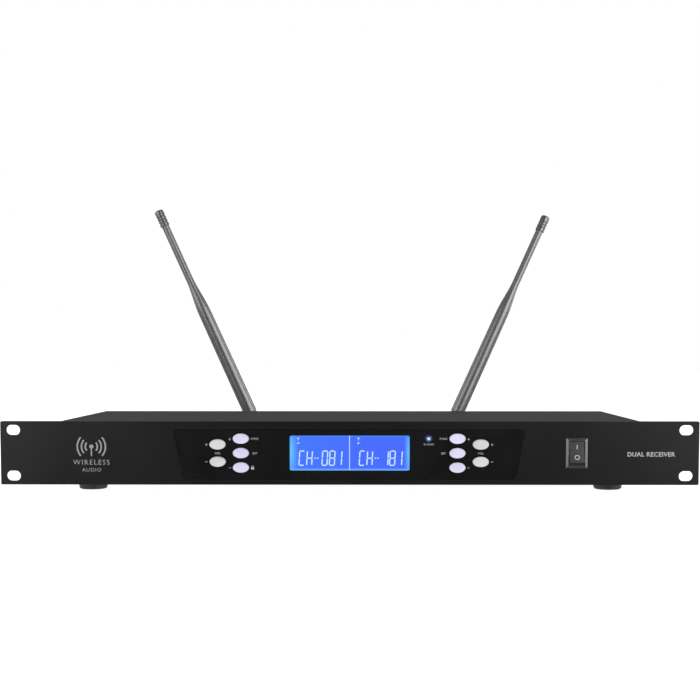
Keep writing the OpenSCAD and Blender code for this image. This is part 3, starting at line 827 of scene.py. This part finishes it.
def makePrint():
    p = printSet
    wear(emblem(), silverInk, "case", "panel_black")
    for name, text, size, z in p["words"]:
        word = lettering(name, text, size, (emblemSet["x"], panelFace, z), 1.25)
        wear(word, silverInk, "case", "panel_black")
    titleSpot = (p["titleX"], panelFace, p["titleZ"])
    title = lettering("panelTitle", p["title"], p["titleSize"], titleSpot, 1.08, 0.06)
    wear(title, whiteInk, "case", "panel_black")


makeMarks()
makePrint()
print("marks printed")


# infrared window

lampSet = {"radius": 1.95, "flange": 2.85, "bulge": 0.9}


def makeInfrared():
    low, high = (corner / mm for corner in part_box("infrared_lens"))
    centre = spot("infrared_lens")
    r, flange, bulge = lampSet["radius"], lampSet["flange"], lampSet["bulge"]
    length = high.y - low.y
    profile = [(r, -length), (r, 3 - length), (flange, 3 - length), (flange, 5 - length), (r, 5 - length)]
    for angle in (90, 75, 60, 45, 30, 15, 3):
        slant = math.radians(angle)
        profile.append((r * math.sin(slant), -bulge * (1 - math.cos(slant))))
    lamp = smooth(turned("infraredLamp", profile, 48), 50)
    place(lamp, (centre.x, low.y, centre.z), (90, 0, 0))
    wear(lamp, lampLight, "case", "infrared_clear", "infrared_lens")
    # the rim wears a painted blue glow
    rim = turned("infraredRim", [(1.6, 0), (2.45, 0), (2.45, 0.25), (2.2, 0.45), (1.7, 0.45)], 48, loop=True)
    place(smooth(rim), (centre.x, lensFace, centre.z), (90, 0, 0))
    wear(rim, lampBlue, "case", "infrared_clear")


makeInfrared()
print("infrared window set")


# power switch

switchSet = {
    "rise": 1.8, "base": 0.8, "bevel": 2.1, "wall": 0.5,
    "markWidth": 0.6, "markTall": 3.1, "ringRadius": 1.8, "faceDepth": 3.5,
}


def makeSwitch():
    s = switchSet
    housing = fromFrame("power_switch_housing", "switchBody", 0.15,
                        keep=lambda middle: middle.y > panelFace + 0.02)
    centre = spot("power_switch_housing")
    size = span("power_switch_housing")
    halfWide, halfTall = size.x / 2, size.z / 2
    bezel = block("switchBezel", (-halfWide, -halfTall, 0), (halfWide, halfTall, s["base"]))
    edit(bezel)
    pickFaces(bezel, lambda middle, normal: normal.z > 0.9)
    bpy.ops.mesh.extrude_region_move(TRANSFORM_OT_translate={"value": (0, 0, (s["rise"] - s["base"]) * mm)})
    narrower = s["bevel"] - s["wall"]
    share = (1 - narrower / halfWide, 1 - narrower / halfTall, 1)
    bpy.ops.transform.resize(value=share, center_override=(0, 0, 0))
    bpy.ops.mesh.inset(thickness=s["wall"] * mm)
    bpy.ops.mesh.extrude_region_move(TRANSFORM_OT_translate={"value": (0, 0, -(s["rise"] + 3) * mm)})
    done()
    bevelled(bezel, 0.16, 2)
    place(bezel, (centre.x, panelFace, centre.z), (90, 0, 0))
    whole = joined("switchHousing", [bezel, housing])
    wear(whole, bezelNylon, "case", "switch_black", "power_switch_housing")

    rocker = fromFrame("power_switch_rocker", "switchRocker", 0.3, 3)
    wear(rocker, rockerNylon, "power_rocker", "switch_black", "power_switch_rocker")
    width, tall, outer = s["markWidth"], s["markTall"], s["ringRadius"]
    bar = block("onMark", (-width / 2, -tall / 2, -0.02), (width / 2, tall / 2, 0.015))
    ring = turned("offMark", [(outer - width, -0.02), (outer, -0.02), (outer, 0.015), (outer - width, 0.015)],
                  40, loop=True)
    marks = []
    for mark, upper in ((bar, True), (ring, False)):
        middle, normal = rockerFace(upper)
        place(mark, (0, 0, 0), (90 + math.degrees(math.atan2(-normal.z, -normal.y)), 0, 0))
        marks.append(place(mark, middle))
    wear(joined("rockerMarks", marks), whiteInk, "power_rocker", "switch_black")


def rockerFace(upper):  # the middle and the direction of the rocker's upper or lower face
    mesh = frame["nodes"]["power_switch_rocker"].data
    level = spot("power_switch_rocker").z
    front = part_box("power_switch_rocker")[0].y + switchSet["faceDepth"] * mm
    parts = [part for part in mesh.polygons if part.normal.y < -0.7 and abs(part.normal.x) < 0.1
             and part.center.y < front and (part.center.z / mm > level) == upper]
    area = sum(part.area for part in parts)
    middle = sum((part.center * part.area for part in parts), Vector()) / area / mm
    return middle, sum((part.normal * part.area for part in parts), Vector()).normalized()


makeSwitch()
print("switch fitted")


# case

def makeCase():
    wear(fromFrame("top_cover", "coverSheet", 0.35, 3), casePaint, "case", "case_black", "top_cover")
    wear(fromFrame("chassis_tray", "traySheet", 0.3, 2), casePaint, "case", "case_black", "chassis_tray")


makeCase()
print("case folded")


# feet

footSet = {"edge": 2.0, "taper": 0.3, "groove": 0.5, "recess": 3.6, "recessDepth": 4.0}


def makeFeet():
    f = footSet
    low, high = (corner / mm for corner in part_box("front_left_foot"))
    radius, height = (high.x - low.x) / 2, high.z - low.z
    tread = radius - f["taper"] - f["edge"]
    profile = [(1.6, f["recessDepth"]), (f["recess"], f["recessDepth"]), (f["recess"], 0.3),
               (f["recess"] + 0.3, 0)]
    profile += [(tread - 1.4, 0), (tread - 1.2, f["groove"]), (tread - 0.7, f["groove"]), (tread - 0.5, 0)]
    profile += [(tread + f["edge"] * math.sin(math.radians(a)), f["edge"] * (1 - math.cos(math.radians(a))))
                for a in (0, 15, 30, 45, 60, 75, 90)]
    profile += [(radius - 0.15, height - 1.0), (radius, height - 0.6), (radius, height - 0.2),
                (radius - 0.2, height), (1.6, height)]
    master = smooth(turned("footMaster", profile, 72, loop=True), 38)
    for node in ("front_left_foot", "front_right_foot", "rear_left_foot", "rear_right_foot"):
        centre = spot(node)
        words = node.split("_")
        foot = copied(master, words[0] + words[1].capitalize() + "Foot", (centre.x, centre.y, low.z))
        wear(foot, footRubber, "case", "rubber_black", node)
    bpy.data.objects.remove(master, do_unlink=True)


makeFeet()
print("feet moulded")


# screws

def screwMaster(headRadius, headHeight, shank, length):
    # a pan head with a cross recess; its seat is at height 0 and its shank goes down
    crown = [(headRadius * across, headHeight * up) for across, up in (
        (1, 0), (1, 0.35), (0.93, 0.68), (0.74, 0.9), (0.45, 1), (0.1, 1))]
    thread = [(shank * 0.6, -length)]
    turns = max(4, int(length / 0.9))
    for index in range(turns):
        base = -length + 0.5 + (length - 0.7) * index / turns
        thread += [(shank * 0.84, base), (shank, base + 0.3)]
    screw = turned("screwMaster", thread + [(shank, -0.02)] + crown, 32)
    for turn in (0, 90):
        tool = block("recess", (-headRadius * 0.52, -0.35, headHeight * 0.35),
                     (headRadius * 0.52, 0.35, headHeight * 2))
        place(tool, (0, 0, 0), (0, 0, turn))
        cut(screw, tool)
    return smooth(screw, 30)


def makeScrews():
    def row(name, master, places, finish, slotName, node):
        copies = []
        for index, (location, turn) in enumerate(places):
            twin = copied(master, f"{name}{index}")
            place(twin, location, turn)
            copies.append(twin)
        bpy.data.objects.remove(master, do_unlink=True)
        wear(joined(name, copies), finish, "case", slotName, node)

    low, high = (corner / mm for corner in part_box("cover_screws"))
    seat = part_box("top_cover")[1].x / mm
    ys = [low.y + 2.75 + (high.y - low.y - 5.5) * share for share in (0, 0.5, 1)]
    sides = [((side * seat, y, (low.z + high.z) / 2), (0, 90 * side, 0)) for side in (-1, 1) for y in ys]
    row("coverScrewSet", screwMaster(2.75, 1.6, 1.5, 5), sides, blackZinc, "screw_black", "cover_screws")

    low, high = (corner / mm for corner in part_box("foot_screws"))
    seat = groundLevel + footSet["recessDepth"]
    under = []
    for node in ("front_left_foot", "front_right_foot", "rear_left_foot", "rear_right_foot"):
        centre = spot(node)
        under.append(((centre.x, centre.y, seat), (180, 0, 0)))
    row("footScrewSet", screwMaster(2.8, 2, 1.5, high.z - seat), under, zinc, "plated_steel", "foot_screws")

    low, high = (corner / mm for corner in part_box("output_socket_screws"))
    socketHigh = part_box("output_sockets")[1].y / mm
    rise = (high.z - low.z) / 2 - 2.6
    middle = (high.z + low.z) / 2
    rear = [((x + side * 9.5, socketHigh, middle + side * rise), (-90, 0, 0))
            for x in (-outputReach, outputReach) for side in (-1, 1)]
    row("outputScrewSet", screwMaster(2.6, 1.4, 1.5, 7), rear, blackZinc, "screw_black",
        "output_socket_screws")


makeScrews()
print("screws driven")


# rear sockets

def makeSockets():
    shells = fromFrame("output_sockets", "outputShells", 0.25, 2)
    wear(shells, nickel, "case", "nickel", "output_sockets")
    pins = fromFrame("socket_contacts", "outputPins", 0.45, 3)
    wear(pins, goldFlash, "case", "contact_gold", "socket_contacts")
    level = spot("output_sockets").z
    inserts = [fromFrame("output_inserts", "outputInserts", 0.25, 2)]
    for x in (-outputReach, outputReach):
        rib = block("insertRib", (x - 1.3, rearFace - 12.9, level + 7.9),
                    (x + 1.3, rearFace + 1.2, level + 9.3))
        inserts.append(bevelled(rib, 0.25, 2))
    wear(joined("outputInserts", inserts), socketNylon, "case", "socket_black", "output_inserts")

    jack = fromFrame("mix_jack", "mixSocket", 0.3, 2)
    wear(jack, socketNylon, "case", "socket_black", "mix_jack")
    inlet = fromFrame("dc_inlet", "powerInlet", 0.2, 2)
    wear(inlet, socketNylon, "case", "socket_black", "dc_inlet")
    nuts = fromFrame("socket_nuts", "socketNutSet", 0.3, 2)
    wear(nuts, nickel, "case", "nickel", "socket_nuts")
    jacks = fromFrame("antenna_jacks", "antennaSockets", 0.18, 2)
    wear(jacks, nickel, "case", "nickel", "antenna_jacks")

    centre = spot("mix_jack")
    ridges = [(3.9, 0)]
    for index in range(4):
        ridges += [(4.72, 0.1 + 0.6 * index), (4.95, 0.4 + 0.6 * index)]
    ridges += [(4.72, 2.5), (4.3, 2.62), (3.9, 2.62)]
    thread = turned("mixThread", ridges, 56, loop=True)
    place(thread, (centre.x, rearFace + 2.4, level), (-90, 0, 0))
    wear(smooth(thread, 25), nickel, "case", "nickel")


makeSockets()
print("sockets mounted")


# rear print

rearWords = {
    "size": 3.0, "z": 13.0, "outputGap": 21.0, "outputZ": -14.6,
    "places": (("left_antenna_plug", "ANT A"), ("right_antenna_plug", "ANT B"),
               ("mix_jack", "MIX"), ("dc_inlet", "DC IN")),
}


def makeRearPrint():
    r = rearWords
    places = [(text, spot(node).x, r["z"]) for node, text in r["places"]]
    for side, text in ((-1, "OUT A"), (1, "OUT B")):
        places.append((text, side * (outputReach + r["outputGap"]), r["outputZ"]))
    words = [lettering(text.replace(" ", ""), text, r["size"], (x, rearFace, z), 1.1, rear=True)
             for text, x, z in places]
    wear(joined("rearPrint", words), whiteInk, "case", "case_black")


makeRearPrint()
print("rear printed")


# antennas

antennaSet = {
    "sleeve": 5.85, "rod": 3.1, "cap": 3.85, "capLength": 14.4, "start": 7.5,
    "rodLength": 93.0, "taper": 27.0, "ribs": 36, "groove": 20.4, "plainFrom": 24.0,
}


def antennaMatrix(side):
    # the hinge pin's place, the splay and the lean that the frame was drawn with
    fold = jointNamed(side + "_antenna_fold")
    splay = math.asin(fold["axis"][2])
    lean = -math.radians(min(fold["range_deg"][0], 0))
    return (Matrix.Translation(Vector(fold["pos_m"])) @ Matrix.Rotation(splay, 4, "Y")
            @ Matrix.Rotation(-lean, 4, "X"))


def whipLength():  # from the hinge pin to the tip
    inverse = antennaMatrix("left").inverted()
    return max((inverse @ vertex.co).z for vertex in frame["nodes"]["left_antenna_cap"].data.vertices) / mm


def whipProfile(length):
    a = antennaSet
    sleeve, thin = a["sleeve"], a["rod"]
    end = length - a["capLength"]
    taperFrom = length - a["rodLength"]
    taperTo = taperFrom + a["taper"]
    groove, plain = a["groove"], a["plainFrom"]
    profile = [(sleeve - 1.0, a["start"]), (sleeve - 0.25, a["start"] + 0.25), (sleeve, a["start"] + 1.0),
               (sleeve, groove - 0.8), (sleeve - 0.5, groove - 0.5), (sleeve - 0.5, groove + 0.5),
               (sleeve, groove + 0.8), (sleeve, plain)]
    profile += [(sleeve - 0.5 * share, plain + (taperFrom - plain) * share) for share in (0.25, 0.5, 0.75, 1)]
    top = sleeve - 0.5
    for index in range(1, 17):
        share = index / 16
        eased = share * share * (3 - 2 * share) * 0.5 + share * 0.5
        profile.append((top + (thin - top) * eased, taperFrom + a["taper"] * share))
    profile += [(thin, (taperTo + end) / 2), (thin, end), (2.0, end), (2.0, end + 6.8), (0.3, end + 6.8)]
    return profile


def capProfile(tip):
    a = antennaSet
    base, r = tip - a["capLength"], a["cap"]
    profile = [(2.2, base), (r - 0.35, base), (r, base + 0.4), (r, base + 2.2)]
    for groove in (3.0, 5.6, 8.2):
        profile += [(r, base + groove - 0.4), (r - 0.45, base + groove), (r - 0.45, base + groove + 0.5),
                    (r, base + groove + 0.9)]
    profile += [(r, tip - 2.0)]
    for angle in (15, 30, 45, 60, 75, 90):
        slant = math.radians(angle)
        profile.append((r - 1.6 * (1 - math.cos(slant)), tip - 1.6 * (1 - math.sin(slant))))
    profile += [(1.2, tip), (0.3, tip)]
    return profile


def makeAntennas():
    a = antennaSet
    length = whipLength()
    whipMaster = smooth(turned("whipMaster", whipProfile(length), 56), 30)
    capMaster = smooth(turned("capMaster", capProfile(length), 48), 30)
    for side in ("left", "right"):
        matrix = antennaMatrix(side)
        whip = placeBy(copied(whipMaster, side + "Sleeve"), matrix)
        inverse = matrix.inverted()
        tongue = fromFrame(f"{side}_antenna_whip", side + "Tongue", 0.0,
                           keep=lambda middle: (inverse @ (middle * mm)).z < (a["start"] + 0.1) * mm)
        whole = joined(side + "Whip", [whip, tongue])
        wear(smooth(whole, 30), sleeveRubber, side + "_whip", "antenna_black", f"{side}_antenna_whip")
        cap = placeBy(copied(capMaster, side + "TipCap"), matrix)
        wear(cap, capRubber, side + "_whip", "antenna_black", f"{side}_antenna_cap")
        knuckle = fromFrame(f"{side}_antenna_knuckle", side + "Knuckle", 0.35, 3)
        wear(knuckle, sleeveRubber, side + "_swivel", "antenna_black", f"{side}_antenna_knuckle")
        pin = fromFrame(f"{side}_antenna_pin", side + "HingePin", 0.2, 2)
        wear(pin, zinc, side + "_swivel", "plated_steel", f"{side}_antenna_pin")
        plug = fromFrame(f"{side}_antenna_plug", side + "Plug", 0.15, 2)
        wear(plug, nickel, "case", "nickel", f"{side}_antenna_plug")
        makeRing(side)
    for master in (whipMaster, capMaster):
        bpy.data.objects.remove(master, do_unlink=True)


def makeRing(side):
    node = f"{side}_antenna_ring"
    low, high = (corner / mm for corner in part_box(node))
    length = high.y - low.y
    radius = (high.x - low.x) / 2
    profile = [(5.7, 0), (radius - 0.3, 0), (radius, 0.3), (radius, 1.6), (radius - 0.35, 1.9),
               (radius - 0.35, 2.5), (radius, 2.8), (radius, length - 1.4), (radius - 0.4, length),
               (3.6, length), (3.6, length - 0.8), (5.7, length - 0.8)]
    ring = turned(side + "Ring", profile, antennaSet["ribs"] * 2, loop=True)
    edit(ring)

    def everySecond(middle, normal):
        band = 2.9 < middle.z < length - 1.5 and math.hypot(middle.x, middle.y) > radius - 0.3
        turn = math.degrees(math.atan2(middle.y, middle.x)) % 360
        return band and int(turn / 360 * antennaSet["ribs"] * 2) % 2 == 0

    pickFaces(ring, everySecond)
    bpy.ops.mesh.inset(thickness=0.06 * mm, depth=-0.28 * mm, use_individual=True)
    done()
    smooth(ring, 25)
    place(ring, (0, 0, 0), (-90, 0, 0))
    place(ring, ((low.x + high.x) / 2, low.y, (low.z + high.z) / 2))
    wear(ring, nickel, f"{side}_ring", "nickel", node)


makeAntennas()
print("antennas raised")


# inside, and what only needs its finish

coat(zinc, "display_frame", "panel_studs", "panel_nuts", "board_screws")
coat(milkyDiffuser, "display_backlight")
coat(epoxyBlack, "tactile_switches", "board_components")
coat(goldFlash, "power_switch_terminals", "board_standoffs", "front_board_posts")
coat(boardGreen, "main_board", "front_board")
coat(tinnedSheet, "receiver_modules")
coat(ribbonGrey, "ribbon_cable")
coat(leadBlack, "antenna_leads")
coat(leadRed, "power_leads")
print("inside finished")


# studio

studioSet = {
    "left": {"spot": (-1.2, -0.8, 0.5), "size": (1.5, 1.25), "power": 12},
    "right": {"spot": (1.2, -0.8, 0.5), "size": (1.5, 1.25), "power": 16},
    "top": {"spot": (0.0, 0.35, 1.6), "size": (1.6, 1.2), "power": 3.5},
    "backLeft": {"spot": (-1.6, 0.9, 0.4), "size": (1.0, 1.2), "power": 6},
    "backRight": {"spot": (1.6, 0.9, 0.4), "size": (1.0, 1.2), "power": 7},
    "ambientFront": 0.03, "ambientBack": 0.24,
}


def softLight(name, spot, size, power):
    data = bpy.data.lights.new(name, "AREA")
    data.shape = "RECTANGLE"
    data.size, data.size_y = size
    data.energy = power
    light = bpy.data.objects.new(name, data)
    bpy.context.scene.collection.objects.link(light)
    light.location = spot
    light.rotation_euler = (Vector((0, 0.05, 0.05)) - Vector(spot)).to_track_quat("-Z", "Y").to_euler()
    light.visible_camera = False


def makeStudio():
    s = studioSet
    for name in ("left", "right", "top", "backLeft", "backRight"):
        softLight(name + "Softbox", **s[name])

    # a pale floor at the feet, and the same white beyond it
    deselectAll()
    bpy.ops.mesh.primitive_plane_add(size=12, location=(0, 0, (groundLevel - 0.05) * mm))
    floor = started("floor")
    floorFinish = Finish("floorWhite", Roughness=0.9, Emission_Strength=0.97)
    cloud = floorFinish.noise(400, 2)
    floorFinish.paint(Base_Color=floorFinish.blend(cloud, (0.78, 0.78, 0.78, 1), (0.82, 0.82, 0.82, 1)))
    floorFinish.paint(Emission_Color=(1, 1, 1, 1))
    floorFinish.showOnlyAbove()
    floor.data.materials.append(floorFinish.material)
    floor.visible_glossy = False

    world = bpy.data.worlds.new("studio")
    bpy.context.scene.world = world
    world.use_nodes = True
    nodes, links = world.node_tree.nodes, world.node_tree.links
    nodes.clear()
    seen = nodes.new("ShaderNodeBackground")
    seen.inputs["Strength"].default_value = 1.0
    seen.inputs["Color"].default_value = (1, 1, 1, 1)
    direction = nodes.new("ShaderNodeSeparateXYZ")
    links.new(nodes.new("ShaderNodeTexCoord").outputs["Generated"], direction.inputs["Vector"])
    reach = nodes.new("ShaderNodeMapRange")
    reach.interpolation_type = "SMOOTHSTEP"
    reach.inputs["From Min"].default_value = -0.6
    reach.inputs["From Max"].default_value = 0.5
    reach.inputs["To Min"].default_value = s["ambientFront"]
    reach.inputs["To Max"].default_value = s["ambientBack"]
    links.new(direction.outputs["Y"], reach.inputs["Value"])
    ambient = nodes.new("ShaderNodeBackground")
    links.new(reach.outputs["Result"], ambient.inputs["Strength"])
    ambient.inputs["Color"].default_value = (1, 1, 1, 1)
    choice = nodes.new("ShaderNodeMixShader")
    links.new(nodes.new("ShaderNodeLightPath").outputs["Is Camera Ray"], choice.inputs["Fac"])
    links.new(ambient.outputs["Background"], choice.inputs[1])
    links.new(seen.outputs["Background"], choice.inputs[2])
    links.new(choice.outputs["Shader"], nodes.new("ShaderNodeOutputWorld").inputs["Surface"])
    bpy.context.scene.view_settings.view_transform = "Standard"


makeStudio()
print("studio lit")
